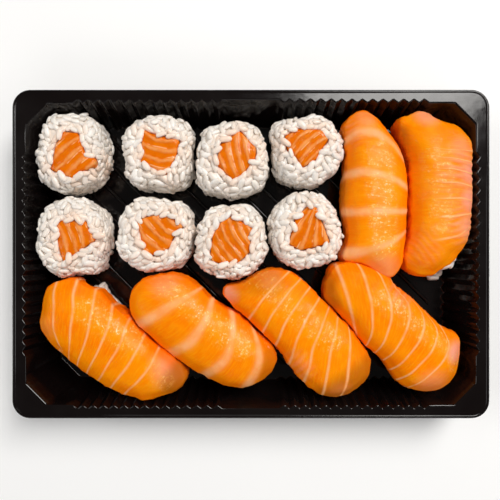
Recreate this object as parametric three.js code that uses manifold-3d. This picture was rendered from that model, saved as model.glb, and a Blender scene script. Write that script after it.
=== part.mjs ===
// Takeaway sushi tray: a shallow black tray with fluted walls that holds eight rice rolls with a
// salmon core and six nigiri, each a slice of salmon draped over a block of pressed rice.
// Millimetres, +Z up, +X along the tray's long side. The origin is the centre of the tray's
// footprint, on the surface that it stands on.
import * as THREE from 'three';
import { mergeVertices } from 'three/addons/utils/BufferGeometryUtils.js';
import Module from 'manifold-3d';

// ---------------------------------------------------------------- driving dimensions

const TRAY = {
  length: 212, // over the rim
  width: 146,
  height: 25,
  cornerRadius: 8,
  rimWidth: 6.2, // flat flange round the opening
  lipDrop: 2.4, // the flange's edge turns down this far
  sheet: 0.7, // thickness of the formed plastic
  wall: 1, // the same sheet, measured level through a sloping fluted wall
  draft: 5.4, // the walls lean in this much from the rim to the floor
  chamfer: 9.5, // leg of the cut-off corners, the same from the rim to the floor
};

const FLUTES = {
  depth: 1.5, // how far each flute stands out of the wall
  longPitch: 4.6,
  longCount: 14.5, // on each side of the plain panel, which starts and ends on a flute's crest
  panelHalf: 12.6, // half of the plain panel at the middle of each long wall
  shortPitch: 4.8,
  shortCount: 19,
};

const RIBS = {
  spacing: 9, // between neighbouring diagonal ribs, measured square to them
  width: 2.4,
  height: 0.8,
  border: 6.5, // smooth band round the floor
};

const GAP = 0.3; // clearance between pieces that touch
const FOOD_BASE = TRAY.sheet + RIBS.height + GAP; // the food stands on the ribs

const ROLL = {
  columns: 34, // grain-sized steps round a roll
  squareness: 2.5, // exponent of the rounded-square section
  fullHeight: 24.4, // height of the roll that the side's levels below are given for
  shrink: 0.8, // the rice between the grains lies this far inside the roll's own size
  grainUp: 1, // how far the grains stand out of the rice
  grainDown: 0.9, // and how far the hollows between them go in
  unevenness: 0.022, // slow waves of the outline, as a share of its radius
  // [inset from the side, height], from the bottom edge up to the top shoulder
  side: [[2.2, 0], [0.2, 3.2], [0, 6.8], [0, 10.4], [0, 14], [0.1, 17.6], [0.7, 21], [2.5, 23.4]],
  face: [0.74, 0.57, 0.4], // shares of the radius of the rings of grains over the cut face
};

// Each roll: middle, size along X and Y, height, seed of its unevenness, and the corners of its
// salmon core round that middle.
const ROLLS = [
  {
    at: [-81.8, 46.2], size: [31.6, 36.4], height: 24.2, seed: 11,
    core: [[-1.2, 7.8], [5.2, 7.2], [8.8, -3.4], [13, -4], [12.6, -7.2], [5.6, -10], [2.4, -12.6], [-6.6, -8.6], [-4.4, 2]],
  },
  {
    at: [-42.4, 46.1], size: [31.8, 34.6], height: 24.6, seed: 23,
    core: [[-4.8, 8.8], [-2, 7], [10.9, 4.2], [9.4, -2.4], [5.2, -11.2], [-6.4, -5.4], [-4.8, -2.4], [-6, 2]],
  },
  {
    at: [-8.5, 43.1], size: [34.2, 34.6], height: 23.8, seed: 37,
    core: [[3.4, 11.6], [10.6, 4], [10.4, -1.8], [3.8, -8], [0.6, -10], [-6.6, -3.6], [-5.6, 5.2], [0.2, 8.8]],
  },
  {
    at: [25.2, 47.1], size: [32.6, 32.8], height: 24.4, seed: 41,
    core: [[-10.2, 4.6], [-5.6, 8], [6, 7.6], [9, 3.6], [5.4, -1.4], [3.8, -5.2], [-2.6, -8.6], [-4.2, -5], [-9, -1]],
  },
  {
    at: [-81.6, 7.6], size: [31.8, 36.6], height: 24, seed: 53,
    core: [[-4.8, 5.6], [-1, 7.4], [8.6, 7], [9.4, 2.6], [13, -1], [4, -7], [-1.4, -11.2], [-3.6, -3.2]],
  },
  {
    at: [-43.6, 9.2], size: [34.8, 35], height: 24.5, seed: 67,
    core: [[-7.4, 5.4], [0, 7.6], [7.4, 8], [13.6, 3.2], [8.8, -2.2], [7.8, -6.2], [1, -9.8], [-4, -8.6], [-5.6, 1.6]],
  },
  {
    at: [-9.1, 5.9], size: [33, 35.2], height: 24.1, seed: 71,
    core: [[-4, 8.4], [0.8, 10.6], [10.4, 5], [8.4, 2.4], [9, -4.4], [3.6, -9.4], [-3.6, -10.2], [-9, -8.4], [-7.8, 2]],
  },
  {
    at: [25.3, 10.6], size: [33.6, 35.2], height: 24.6, seed: 83,
    core: [[0, 10.6], [3.8, 9.8], [5.4, 5], [9.6, -5.8], [-3.2, -8.8], [-8.4, -6.2], [-5.4, 5]],
  },
];

const CORE = { crown: 0.5, shoulder: 0.9 }; // the core's cut end swells a little, rounded at its edge

const SLICE = {
  points: 24, // steps round a slice
  // [share of the half-width, share of the crown's rise over the widest line]
  over: [[0.16, 0.995], [0.46, 0.92], [0.74, 0.7], [0.93, 0.35], [1, 0]],
  widest: 19, // height of the widest line over the ribs
  edge: 8.4, // height of the slice's lower edge at the long sides
  edgeInset: 0.965, // the lower edge curls under to this share of the half-width
  endDroop: 3.5, // the edge hangs this much lower at the ends
  inside: [[0.8, 0.4], [0.77, 10.2]], // hollow side: share of the half-width, height over the edge
  ceiling: [0.5, 6.2], // hollow top: share of the half-width, thickness of salmon over it
};

const BLOCK = {
  // [share of the half-width, height over the ribs] of the pressed rice
  levels: [[0.66, 0], [0.73, 2.4], [0.73, 3.9], [0.725, 14.6]],
  top: [0.47, 0.45], // share of the half-width, clearance under the hollow's ceiling
  grainDown: 0.5, // the grains' hollows
  peekHeight: 3, // rice peeks out past the slice up to here, under the slice's edge
};

// Each nigiri: outline of the slice at its widest line, the spine that its section follows,
// the crown's height over the ribs, and where rice peeks out past the slice, if it does.
const NIGIRI = [
  {
    outline: [
      [-91, -15], [-84, -12], [-74.5, -12.4], [-66, -17.6], [-56.7, -26.6], [-46.6, -37], [-28.8, -53.2],
      [-32, -60], [-48, -65], [-62, -61], [-85, -44.5], [-94.6, -32], [-94.2, -23],
    ],
    spine: [[-80, -28], [-44, -52]], crown: 26.6, seed: 5, peek: { at: [-69, -14.5], reach: 7, out: 2.2 },
  },
  {
    outline: [
      [-54.8, -22], [-49.5, -12.8], [-41, -9.4], [-31.5, -9.3], [-24, -14], [-4.8, -27.2], [2, -34.4],
      [10.8, -43.2], [10.4, -50.5], [2, -58.4], [-8, -59.8], [-27.4, -51.2], [-45, -37.2], [-52.6, -29.5],
    ],
    spine: [[-39, -24], [-5, -46]], crown: 27.4, seed: 6, peek: null,
  },
  {
    outline: [
      [-12.2, -18.6], [-10.4, -13.8], [-4.5, -13.4], [5.6, -8.4], [13, -6.8], [19.8, -9], [31, -19.4],
      [42.6, -31.6], [49.4, -41.2], [55.2, -48], [53.2, -54], [45, -62], [37, -64.3], [28.5, -61.5],
      [12.2, -42.8], [-4.2, -26.4],
    ],
    spine: [[6, -22], [41, -53]], crown: 26.4, seed: 7, peek: null,
  },
  {
    outline: [
      [32.3, -18], [32.9, -10.4], [37.4, -6.8], [44, -4.9], [56.6, -9], [73.7, -21.3], [86.6, -32.8],
      [93, -36], [94.3, -43], [91.5, -54.5], [85, -60.5], [76.5, -62.2], [68, -59], [58.8, -47],
      [51.8, -40.1], [43.6, -30.9],
    ],
    spine: [[46, -18], [62, -32], [79, -48]], crown: 26.8, seed: 8, peek: null,
  },
  {
    outline: [
      [48.8, 64.6], [57, 60.5], [63.8, 52], [69, 42], [70.3, 26], [69.6, 9.5], [67, -4.5], [62.4, -9.8],
      [56, -7], [48.5, -3.2], [42.2, -2.2], [43.4, 9], [41.2, 26], [42.9, 46], [41.6, 57],
    ],
    spine: [[54, 49], [56, 26], [55.5, 9]], crown: 26.6, seed: 9, peek: null,
  },
  {
    outline: [
      [66.6, 55], [68.4, 61], [77.3, 64.2], [85, 62], [96.6, 57.6], [98.3, 52], [98.2, 36], [98, 10],
      [93, -3.5], [84, -9.3], [76, -9.8], [69, -4], [71.3, 9], [71.4, 32], [70.6, 43],
    ],
    spine: [[82, 47], [84.5, 26], [83, 8]], crown: 27.6, seed: 10, peek: { at: [90, -7.5], reach: 9, out: 2.4 },
  },
];

// ---------------------------------------------------------------- materials

const plastic = (color) => new THREE.MeshStandardMaterial({ color, roughness: 0.28, metalness: 0 });
const food = (color, roughness) => new THREE.MeshStandardMaterial({ color, roughness, metalness: 0 });

const makePlastic = () => plastic(0x1a1617);
const makeRice = () => food(0xe4dcd0, 0.55);
const makeSalmon = () => food(0xfa8c1c, 0.35);
const makeCore = () => food(0xe67614, 0.4);

// ---------------------------------------------------------------- geometry helpers

const wasm = await Module();
wasm.setup();

// Small repeatable random source: the same seed gives the same food.
function randomFrom(seed) {
  let state = seed * 2654435761;
  return () => {
    state = (state + 0x6d2b79f5) | 0;
    let t = Math.imul(state ^ (state >>> 15), 1 | state);
    t = (t + Math.imul(t ^ (t >>> 7), 61 | t)) ^ t;
    return ((t ^ (t >>> 14)) >>> 0) / 4294967296;
  };
}

// A closed geometry reduced to merged positions and an index.
function positionsOnly(geometry) {
  const bare = new THREE.BufferGeometry();
  bare.setAttribute('position', geometry.getAttribute('position').clone());
  if (geometry.index) bare.setIndex(geometry.index.clone());
  return mergeVertices(bare, 1e-4);
}

function toSolid(geometry) {
  const merged = positionsOnly(geometry);
  return new wasm.Manifold(new wasm.Mesh({
    numProp: 3,
    vertProperties: new Float32Array(merged.attributes.position.array),
    triVerts: new Uint32Array(merged.index.array),
  }));
}

function toGeometry(solid) {
  const { vertProperties, triVerts } = solid.getMesh();
  const geometry = new THREE.BufferGeometry();
  geometry.setAttribute('position', new THREE.BufferAttribute(new Float32Array(vertProperties), 3));
  geometry.setIndex(new THREE.BufferAttribute(new Uint32Array(triVerts), 1));
  geometry.computeVertexNormals();
  return geometry;
}

function piece(name, geometry, material) {
  const mesh = new THREE.Mesh(geometry, material);
  mesh.name = name;
  return mesh;
}

function signedVolume(points, faces) {
  return faces.reduce((sum, [a, b, c]) => {
    const cross = new THREE.Vector3().crossVectors(points[b], points[c]);
    return sum + points[a].dot(cross) / 6;
  }, 0);
}

// A closed body from rings of equally many points, with a flat-topped cap over the first and the
// last. A staggered body has each odd ring turned half a step, as bricks are laid.
function loft(rings, staggered = false) {
  const count = rings[0].length;
  const points = rings.flat();
  const faces = [];
  for (let r = 0; r + 1 < rings.length; r++) {
    for (let i = 0; i < count; i++) {
      const next = (i + 1) % count;
      const [a, b] = [r * count + i, r * count + next];
      const [c, d] = [(r + 1) * count + i, (r + 1) * count + next];
      if (staggered && r % 2 === 1) faces.push([a, b, d], [a, d, c]);
      else faces.push([a, b, c], [b, d, c]);
    }
  }
  const capOf = (ring) => THREE.ShapeUtils.triangulateShape(ring.map((p) => new THREE.Vector2(p.x, p.y)), []);
  const firstCap = capOf(rings[0]).map(([a, b, c]) => [a, c, b]);
  const last = (rings.length - 1) * count;
  const lastCap = capOf(rings[rings.length - 1]).map(([a, b, c]) => [a + last, b + last, c + last]);
  faces.push(...firstCap, ...lastCap);
  if (signedVolume(points, faces) < 0) faces.forEach((face) => face.reverse());
  const geometry = new THREE.BufferGeometry();
  geometry.setFromPoints(points);
  geometry.setIndex(faces.flat());
  return positionsOnly(geometry);
}

const ringAt = (outline, z) => outline.map(([x, y]) => new THREE.Vector3(x, y, z));

const isClockwise = (outline) => THREE.ShapeUtils.isClockWise(outline.map(([x, y]) => new THREE.Vector2(x, y)));
const anticlockwise = (outline) => (isClockwise(outline) ? [...outline].reverse() : outline);

// The outline moved outwards by a distance, corner by corner.
function grown(outline, distance) {
  const turned = anticlockwise(outline);
  return turned.map((corner, i) => {
    const before = turned[(i + turned.length - 1) % turned.length];
    const after = turned[(i + 1) % turned.length];
    const normal = (from, to) => new THREE.Vector2(to[1] - from[1], from[0] - to[0]).normalize();
    const [n1, n2] = [normal(before, corner), normal(corner, after)];
    const shift = n1.clone().add(n2).multiplyScalar(distance / (1 + n1.dot(n2)));
    return [corner[0] + shift.x, corner[1] + shift.y];
  });
}

// ---------------------------------------------------------------- tray

// How far the wall's inner face has leaned in from the rim's edge, at a height.
const leanAt = (z) => (TRAY.draft * (TRAY.height - z)) / (TRAY.height - TRAY.sheet);

const OPENING = {
  halfLength: TRAY.length / 2 - TRAY.rimWidth,
  halfWidth: TRAY.width / 2 - TRAY.rimWidth,
};

// A zigzag run of flutes along one wall, from a trough, as [place along the wall, depth] pairs.
function fluteRun(start, pitch, count) {
  return Array.from({ length: 2 * count + 1 }, (_, i) => [start + (i * pitch) / 2, (i % 2) * FLUTES.depth]);
}

const LONG_RUN = FLUTES.longPitch * FLUTES.longCount;
const SHORT_RUN = FLUTES.shortPitch * FLUTES.shortCount;
const halfLongWall = fluteRun(-FLUTES.panelHalf - LONG_RUN, FLUTES.longPitch, FLUTES.longCount);
const longWall = [...halfLongWall, ...halfLongWall.map(([t, n]) => [-t, n]).reverse()];
const shortWall = fluteRun(-SHORT_RUN / 2, FLUTES.shortPitch, FLUTES.shortCount);

// The fluted octagon at a level where the wall has leaned in by an inset, anticlockwise.
function wallOutline(inset) {
  const [a, b] = [OPENING.halfLength - inset, OPENING.halfWidth - inset];
  const [endX, endY] = [a - TRAY.chamfer, b - TRAY.chamfer];
  const bottom = [[-endX, 0], ...longWall, [endX, 0]].map(([t, n]) => [t, -b - n]);
  const right = [[-endY, 0], ...shortWall, [endY, 0]].map(([t, n]) => [a + n, t]);
  const turned = ([x, y]) => [-x, -y];
  return [...bottom, ...right, ...bottom.map(turned), ...right.map(turned)];
}

function roundedRectangle(length, width, radius) {
  const [x, y] = [length / 2, width / 2];
  const shape = new THREE.Shape();
  shape.moveTo(-x + radius, -y);
  shape.lineTo(x - radius, -y);
  shape.absarc(x - radius, -y + radius, radius, -Math.PI / 2, 0);
  shape.lineTo(x, y - radius);
  shape.absarc(x - radius, y - radius, radius, 0, Math.PI / 2);
  shape.lineTo(-x + radius, y);
  shape.absarc(-x + radius, y - radius, radius, Math.PI / 2, Math.PI);
  shape.lineTo(-x, -y + radius);
  shape.absarc(-x + radius, -y + radius, radius, Math.PI, Math.PI * 1.5);
  return shape;
}

function slab(inset, bottom, top) {
  const shape = roundedRectangle(TRAY.length - 2 * inset, TRAY.width - 2 * inset, TRAY.cornerRadius - inset);
  const geometry = new THREE.ExtrudeGeometry(shape, { depth: top - bottom, bevelEnabled: false, curveSegments: 6 });
  return toSolid(geometry.translate(0, 0, bottom));
}

// The flat flange with its turned-down lip.
function rim() {
  const bottom = TRAY.height - TRAY.lipDrop;
  const below = slab(TRAY.sheet, bottom - 1, TRAY.height - TRAY.sheet);
  return slab(0, bottom, TRAY.height).subtract(below);
}

// One low diagonal rib of triangular section, long enough to cross the whole floor.
function rib(offset) {
  const section = new THREE.Shape([
    new THREE.Vector2(-RIBS.width / 2, -TRAY.sheet / 2),
    new THREE.Vector2(RIBS.width / 2, -TRAY.sheet / 2),
    new THREE.Vector2(RIBS.width / 2, 0),
    new THREE.Vector2(RIBS.width / 5, RIBS.height),
    new THREE.Vector2(-RIBS.width / 5, RIBS.height),
    new THREE.Vector2(-RIBS.width / 2, 0),
  ]);
  const reach = TRAY.length;
  const geometry = new THREE.ExtrudeGeometry(section, { depth: reach, bevelEnabled: false });
  geometry.translate(offset, 0, -reach / 2);
  geometry.rotateX(Math.PI / 2);
  geometry.rotateZ(Math.PI / 4);
  geometry.translate(0, 0, TRAY.sheet);
  return toSolid(geometry);
}

// All the ribs, cut off at the smooth band round the floor.
function floorRibs() {
  const inset = TRAY.draft + RIBS.border;
  const [x, y] = [OPENING.halfLength - inset, OPENING.halfWidth - inset];
  const field = new THREE.BoxGeometry(2 * x, 2 * y, 4 * TRAY.sheet);
  const reach = (x + y) / Math.SQRT2 - RIBS.width;
  const steps = Math.floor(reach / RIBS.spacing);
  let ribs = null;
  for (let i = -steps; i <= steps; i++) {
    const next = rib(i * RIBS.spacing);
    ribs = ribs ? ribs.add(next) : next;
  }
  return ribs.intersect(toSolid(field));
}

function makeTray() {
  const above = TRAY.height + 1;
  const hull = loft([
    ringAt(wallOutline(TRAY.draft - TRAY.wall), 0),
    ringAt(wallOutline(-TRAY.wall), TRAY.height - TRAY.sheet / 2),
  ]);
  const hollow = loft([
    ringAt(wallOutline(TRAY.draft), TRAY.sheet),
    ringAt(wallOutline(leanAt(above)), above),
  ]);
  const shell = rim().add(toSolid(hull)).subtract(toSolid(hollow));
  return piece('tray', toGeometry(shell.add(floorRibs())), makePlastic());
}

// Food that reaches a wall gives way to it: the point is moved in along X, Y or the corner's
// diagonal until it is clear of the wall's inner face.
function insideTray(x, y, z) {
  const inset = leanAt(Math.min(z, TRAY.height)) + GAP + 0.1;
  const [a, b] = [OPENING.halfLength - inset, OPENING.halfWidth - inset];
  let [px, py] = [THREE.MathUtils.clamp(x, -a, a), THREE.MathUtils.clamp(y, -b, b)];
  const over = (Math.abs(px) + Math.abs(py) - (a + b - TRAY.chamfer)) / 2;
  if (over > 0) {
    px -= Math.sign(px) * over;
    py -= Math.sign(py) * over;
  }
  return [px, py];
}

// ---------------------------------------------------------------- rice rolls

// Half-width of the rounded-square section of a roll in one direction.
function rollRadius({ size }, angle) {
  const power = ROLL.squareness;
  const along = Math.abs(Math.cos(angle) / (size[0] / 2)) ** power;
  const across = Math.abs(Math.sin(angle) / (size[1] / 2)) ** power;
  return (along + across) ** (-1 / power);
}

// The bumpy outer surface of the rice: each point of a brick-laid grid is the back of a grain or
// the hollow beside it.
function riceRings(roll) {
  const random = randomFrom(roll.seed);
  const [lobe2, lobe3, lobe5] = [random(), random(), random()].map((r) => r * Math.PI * 2);
  const wave = (angle) => Math.sin(2 * angle + lobe2) + Math.sin(3 * angle + lobe3) + 0.7 * Math.sin(5 * angle + lobe5);
  const grain = () => (random() < 0.5 ? random() * ROLL.grainUp : -random() * ROLL.grainDown);
  const stretch = roll.height / ROLL.fullHeight;
  const levels = [
    ...ROLL.side.map(([inset, height]) => ({ share: 1, inset, z: FOOD_BASE + height * stretch, sideways: 1 })),
    ...ROLL.face.map((share) => ({ share, inset: 0, z: FOOD_BASE + roll.height, sideways: 0 })),
  ];
  return levels.map(({ share, inset, z, sideways }, row) =>
    Array.from({ length: ROLL.columns }, (_, column) => {
      const angle = ((column + (row % 2) / 2) / ROLL.columns) * Math.PI * 2;
      const swell = row === 0 ? 0 : grain();
      const outline = rollRadius(roll, angle) * (1 + ROLL.unevenness * wave(angle));
      const radius = outline * share - inset - ROLL.shrink;
      const reach = radius + swell * sideways;
      const height = z + swell * (1 - sideways);
      const [x, y] = insideTray(roll.at[0] + reach * Math.cos(angle), roll.at[1] + reach * Math.sin(angle), height);
      return new THREE.Vector3(x, y, height);
    }));
}

function makeRoll(roll, number) {
  const name = `roll_${number}`;
  const top = FOOD_BASE + roll.height;
  const placed = anticlockwise(roll.core.map(([x, y]) => [roll.at[0] + x, roll.at[1] + y]));
  const slot = grown(placed, GAP);
  const cutter = loft([ringAt(slot, FOOD_BASE - 2), ringAt(slot, top + 4)]);
  const rice = toSolid(loft(riceRings(roll), true)).subtract(toSolid(cutter));
  const crown = grown(placed, -CORE.shoulder);
  const core = loft([ringAt(placed, FOOD_BASE), ringAt(placed, top), ringAt(crown, top + CORE.crown)]);
  return [piece(`${name}_rice`, toGeometry(rice), makeRice()), piece(`${name}_salmon`, core, makeCore())];
}

// ---------------------------------------------------------------- nigiri

const flat = ([x, y]) => new THREE.Vector3(x, y, 0);

// Nearest point of the spine to a place in plan.
function nearestOnSpine(spine, place) {
  const stretches = spine.slice(1).map((end, i) => new THREE.Line3(flat(spine[i]), flat(end)));
  const nearest = stretches.map((line) => line.closestPointToPoint(place, true, new THREE.Vector3()));
  return nearest.reduce((best, point) => (point.distanceTo(place) < best.distanceTo(place) ? point : best));
}

// Evenly spaced places round the slice: each has its point on the spine, its point on the outline
// and how squarely it looks out of the end (0 at the long sides, 1 at the tips).
function slicePlaces({ outline, spine }) {
  const curve = new THREE.CatmullRomCurve3(anticlockwise(outline).map(flat), true, 'centripetal');
  const axis = flat(spine.at(-1)).sub(flat(spine[0])).normalize();
  return curve.getSpacedPoints(SLICE.points).slice(0, -1).map((edge) => {
    const root = nearestOnSpine(spine, edge);
    const outward = edge.clone().sub(root).normalize();
    return { root, edge, endness: Math.abs(outward.dot(axis)) ** 2 };
  });
}

// A ring at a share of the way from the spine to the outline, which the tray's wall may push in.
function shareRing(places, share, heightOf) {
  return places.map((place) => {
    const z = heightOf(place);
    const [x, y] = insideTray(place.edge.x, place.edge.y, z);
    const point = place.root.clone().lerp(new THREE.Vector3(x, y, 0), share);
    return point.setZ(z);
  });
}

function sliceRings(nigiri, places) {
  const widest = FOOD_BASE + SLICE.widest;
  const rise = nigiri.crown - SLICE.widest;
  const edgeOf = ({ endness }) => FOOD_BASE + SLICE.edge - SLICE.endDroop * endness;
  const over = SLICE.over.map(([share, lift]) => shareRing(places, share, () => widest + rise * lift));
  const edge = shareRing(places, SLICE.edgeInset, edgeOf);
  const inside = SLICE.inside.map(([share, lift]) => shareRing(places, share, (place) => edgeOf(place) + lift));
  const [ceilingShare, thickness] = SLICE.ceiling;
  const ceiling = shareRing(places, ceilingShare, () => FOOD_BASE + nigiri.crown - thickness);
  return [...over, edge, ...inside, ceiling];
}

function blockRings(nigiri, places) {
  const random = randomFrom(nigiri.seed);
  const [topShare, clearance] = BLOCK.top;
  const top = FOOD_BASE + nigiri.crown - SLICE.ceiling[1] - clearance;
  const peekShare = ({ root, edge }, share, z) => {
    if (!nigiri.peek || z > FOOD_BASE + BLOCK.peekHeight) return share;
    const near = 1 - edge.distanceTo(flat(nigiri.peek.at)) / nigiri.peek.reach;
    const wanted = 1 + nigiri.peek.out / edge.distanceTo(root);
    return near > 0 ? THREE.MathUtils.lerp(share, wanted, Math.sqrt(near)) : share;
  };
  const levels = BLOCK.levels.map(([share, height]) => {
    const z = FOOD_BASE + height;
    return shareRing(places, 1, () => z).map((edge, i) => {
      const place = places[i];
      const reach = peekShare(place, share, z) - (random() * BLOCK.grainDown) / place.edge.distanceTo(place.root);
      return place.root.clone().setZ(z).lerp(edge, reach);
    });
  });
  return [...levels, shareRing(places, topShare, () => top)];
}

function makeNigiri(nigiri, number) {
  const name = `nigiri_${number}`;
  const places = slicePlaces(nigiri);
  return [
    piece(`${name}_salmon`, loft(sliceRings(nigiri, places)), makeSalmon()),
    piece(`${name}_rice`, loft(blockRings(nigiri, places)), makeRice()),
  ];
}

// ---------------------------------------------------------------- the whole

const sushiTray = new THREE.Group();
sushiTray.add(makeTray());
ROLLS.forEach((roll, i) => sushiTray.add(...makeRoll(roll, i + 1)));
NIGIRI.forEach((nigiri, i) => sushiTray.add(...makeNigiri(nigiri, i + 1)));

export default sushiTray;
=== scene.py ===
import math

import bmesh
import bpy
import numpy as np
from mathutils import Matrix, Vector, noise
from mathutils.bvhtree import BVHTree


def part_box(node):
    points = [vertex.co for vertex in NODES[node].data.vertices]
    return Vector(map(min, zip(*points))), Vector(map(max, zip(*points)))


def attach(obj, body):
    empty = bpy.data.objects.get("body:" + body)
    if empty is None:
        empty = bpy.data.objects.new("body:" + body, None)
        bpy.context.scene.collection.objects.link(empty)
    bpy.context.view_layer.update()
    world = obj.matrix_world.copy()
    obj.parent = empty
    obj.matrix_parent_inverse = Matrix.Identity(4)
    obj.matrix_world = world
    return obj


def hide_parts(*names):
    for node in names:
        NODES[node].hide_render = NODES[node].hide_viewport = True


# Takeaway sushi tray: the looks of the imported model. The tray, the salmon slices and the salmon
# cores become fine meshes, and the rice becomes single grains over a core of their own.
# Lengths in the tables and constants are millimetres, and MM turns them into metres.
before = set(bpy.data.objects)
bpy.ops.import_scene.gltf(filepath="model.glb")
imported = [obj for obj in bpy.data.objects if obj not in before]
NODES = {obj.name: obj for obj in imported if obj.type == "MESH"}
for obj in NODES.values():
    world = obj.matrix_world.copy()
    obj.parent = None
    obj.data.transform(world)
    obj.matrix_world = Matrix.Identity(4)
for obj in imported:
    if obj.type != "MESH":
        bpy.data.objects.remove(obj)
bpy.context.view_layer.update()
MM = 0.001

# ---------------------------------------------------------------- sizes

TRAY_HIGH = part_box("tray")[1]
HALF_LENGTH = TRAY_HIGH.x / MM
HALF_WIDTH = TRAY_HIGH.y / MM
RIM_TOP = TRAY_HIGH.z / MM
RIM_WIDTH = 6.2
INNER_X, INNER_Y = HALF_LENGTH - RIM_WIDTH, HALF_WIDTH - RIM_WIDTH  # the walls at the rim
CORNER_RADIUS = 8
LIP_DROP = 2.4  # the rim's edge turns down this far
LIP_RADIUS = 0.6
SHEET = 0.7  # thickness of the formed plastic
WALL = 1.0  # the same, measured level through the sloping wall
DRAFT = 5.4  # the walls lean in this much from the rim to the floor
CHAMFER = 9.5  # leg of the cut-off corners
RIM_BEND = 0.7  # radius between the rim and the walls
FLOOR_BEND = 1.6  # radius between the walls and the floor
FLUTE_DEPTH = 1.5
FLUTE_STEPS = 8  # points along one flute
LONG_PITCH, LONG_COUNT, PANEL_HALF = 4.6, 14.5, 12.6
SHORT_PITCH, SHORT_COUNT = 4.8, 19
RIB_SPACING, RIB_WIDTH, RIB_HEIGHT, RIB_BORDER = 9, 2.4, 0.8, 6.5
RIB_ROOT = -0.4  # the ribs' feet lie this far under the floor's surface

WALL_GAP = 0.1  # the food stays this far inside the walls
WALL_BEND = 0.25  # softness of the bend where it is flattened against them
BLOCK_GAP = 1.8  # the surface under a block's grains stays this far inside the end walls
SLICE_VOXEL, CORE_VOXEL, ROLL_VOXEL, BLOCK_VOXEL = 0.68, 0.7, 0.9, 1.1  # for making meshes anew
FIBRE_STRETCH = 0.12  # lengths along the fibres count this much, which draws their noise out

GRAIN_LENGTH, GRAIN_WIDTH, GRAIN_THICKNESS = 5.3, 2.7, 2.2
GRAIN_SPACING = 2.4  # least distance between the middles of two grains
GRAIN_SHAPES = 8
GRAIN_TIPS = 0.33  # places near a grain's ends, as a share of its length from its middle
GRAIN_REACH = 0.42  # how near those may come to a neighbour, as a share of a grain's width
GRAIN_TRIALS = 9000  # places tried on each surface
OVER_SHARE = 0.06  # share of the grains round a core that lie over its edge
ROLLS_TOP, BLOCKS_TOP = 99, 16  # their sides stand out or back up to these heights
BLOCK_GRAINS = 12  # the blocks have grains up to this height over their foot
UNDER_GRAINS = (0.6, 0.0, 0.08)  # tone, painted light on the grains' sides, and blush of the rice under the grains

# The fat lines of each slice: a 3 by 3 grid of places in plan, which holds the first, a middle and
# the last line, each from its start over its middle to its end, then how many lines there are, how
# wide a line is as a share of their spacing, the share of each line where it starts to show, and
# how strongly painted shade makes the slice's sides redder and darker than its top.
SLICES = {
    1: dict(count=7, breadth=0.12, shows_from=-1, red=1, lines=[
        [(-86.9, -16.8), (-86.1, -32.7), (-84.3, -41.0)],
        [(-61.3, -22.1), (-64.0, -35.7), (-71.1, -49.9)],
        [(-41.0, -41.5), (-44.6, -49.4), (-53.0, -59.1)]]),
    2: dict(count=4, breadth=0.22, shows_from=-1, red=1, lines=[
        [(-47.7, -30.4), (-37.5, -24.3), (-22.9, -15.4)],
        [(-24.3, -47.2), (-15.9, -38.0), (-12.4, -22.9)],
        [(-0.4, -56.5), (3.5, -46.8), (2.6, -37.5)]]),
    3: dict(count=7, breadth=0.12, shows_from=-1, red=1, lines=[
        [(-0.4, -28.2), (5.7, -19.4), (15.4, -9.3)],
        [(18.5, -43.7), (22.5, -32.2), (29.4, -21.2)],
        [(41.9, -54.7), (43.3, -43.2), (43.3, -33.5)]]),
    4: dict(count=7, breadth=0.12, shows_from=-1, red=1, lines=[
        [(39.3, -8.4), (43.3, -22.5), (48.5, -38.0)],
        [(67.5, -19.4), (68.8, -30.0), (60.5, -45.9)],
        [(86.9, -38.0), (84.7, -45.5), (74.1, -56.5)]]),
    5: dict(count=4, breadth=0.2, shows_from=-1, red=1, lines=[
        [(39.7, 47.7), (52.5, 53.4), (67.5, 43.3)],
        [(40.2, 26.9), (53.0, 26.9), (68.8, 24.3)],
        [(41.5, 0.9), (55.2, 2.7), (68.8, 9.7)]]),
    6: dict(count=7, breadth=0.09, shows_from=0.35, red=0.4, lines=[
        [(66.6, 50.3), (82.1, 45.9), (98.4, 45.9)],
        [(69.3, 31.3), (83.4, 31.3), (98.0, 30.0)],
        [(69.3, 8.4), (81.6, 6.2), (96.7, 11.5)]]),
}

# Places on the slices, each with its slice, its middle in plan or the two ends of a strip, and its
# radius. THIN are pale or pink; the table after it gives painted shade, brownish dark where
# neighbours shade a slice, and the next one painted highlights, a yellow sheen and pale glint dots
# in the base colour; each with a strength. PUSHED stand out or back, by a distance. CREASED have
# ridges, with their height, the direction across them and their spacing.
THIN = [
    (1, (-35.7, -50.0), 11, 0.5), (1, (-91.5, -33.0), 8, 0.12), (2, (-38.0, -12.5), 8, 0.4),
    (3, (-11.5, -17.5), 8, 0.9), (3, (8.0, -9.5), 8, 0.3), (4, (91.0, -43.5), 7, 1.0),
    (4, (80.0, -58.0), 10, 0.3), (3, (40.0, -62.0), 8, 0.4), (5, (58.0, -6.0), 10, 0.35),
    (5, (51.0, 60.0), 7, 0.35), (6, (98.0, 36.0), 9, 0.9), (6, (98.0, 24.0), 9, 0.9),
    (6, (97.0, 12.0), 9, 0.7), (6, (92.0, 46.0), 8, 0.4), (6, (78.0, 62.0), 8, 0.6),
    (6, (67.0, 33.0), 4, 0.5), (6, (63.5, 59.0), 4.0, 1.0),
]
# Painted shade: darker, browner flesh where neighbours shade a slice; on slice 6 the strip along
# its upper left edge is also the brown of a small flap.
PAINTED_SHADE = [
    (1, ((-30.0, -51.0), (-34.0, -58.0)), 9, 0.8), (2, ((9.0, -46.0), (8.0, -58.0)), 8, 0.55),
    (3, ((54.0, -50.0), (34.0, -64.0)), 10, 0.75), (3, ((-5.0, -13.0), (9.0, -12.0)), 10, 0.4),
    (4, ((31.0, -10.0), (35.0, -22.0)), 7, 0.75), (4, ((80.0, -60.0), (92.0, -50.0)), 8, 0.25),
    (5, ((38.5, 54.0), (38.5, 8.0)), 6, 0.9), (6, ((66.5, 54.5), (68.8, 40.0)), 4.4, 0.75),
]
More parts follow.
